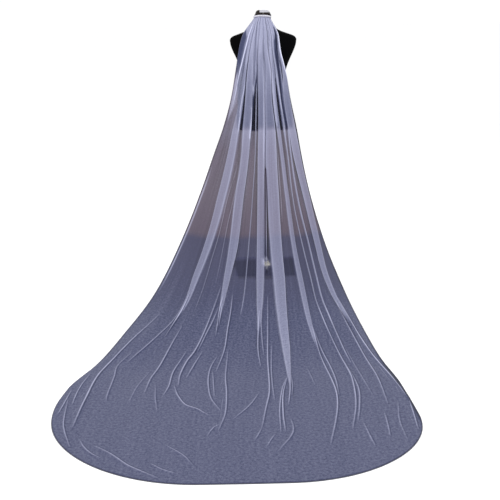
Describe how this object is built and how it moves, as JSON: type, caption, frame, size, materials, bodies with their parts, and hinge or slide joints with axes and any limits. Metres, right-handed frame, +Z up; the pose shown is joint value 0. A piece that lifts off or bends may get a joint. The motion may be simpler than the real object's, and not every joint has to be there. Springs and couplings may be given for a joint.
{
  "type": "bridal veil on a dress form",
  "caption": "Cathedral-length tulle bridal veil, gathered on a band at the neck of a limbless dress form on a pole stand, with its rounded train laid out on the floor.",
  "frame": {"origin": "middle of the model's bounding box, on the floor", "axes": "+Z up; the dress form faces +Y and the veil falls behind it towards -Y, where the train lies; +X is to the right when the veil is seen from behind the form"},
  "size_m": [1.3882, 2.5356, 1.495],
  "materials": {
    "tulle": "fine sheer net, soft sheen",
    "band": "satin tape",
    "comb": "smooth",
    "form": "close-fitting matt black jersey",
    "cap": "high gloss",
    "pole": "polished",
    "flange": "pale satin",
    "plate": "dark polished glass"
  },
  "bodies": {
    "root": {"veil_tulle": "tulle", "gather_band": "band", "comb": "comb", "form_torso": "form", "neck_cap": "cap", "pole": "pole", "flange": "flange", "base_plate": "plate"}
  },
  "joints": []
}
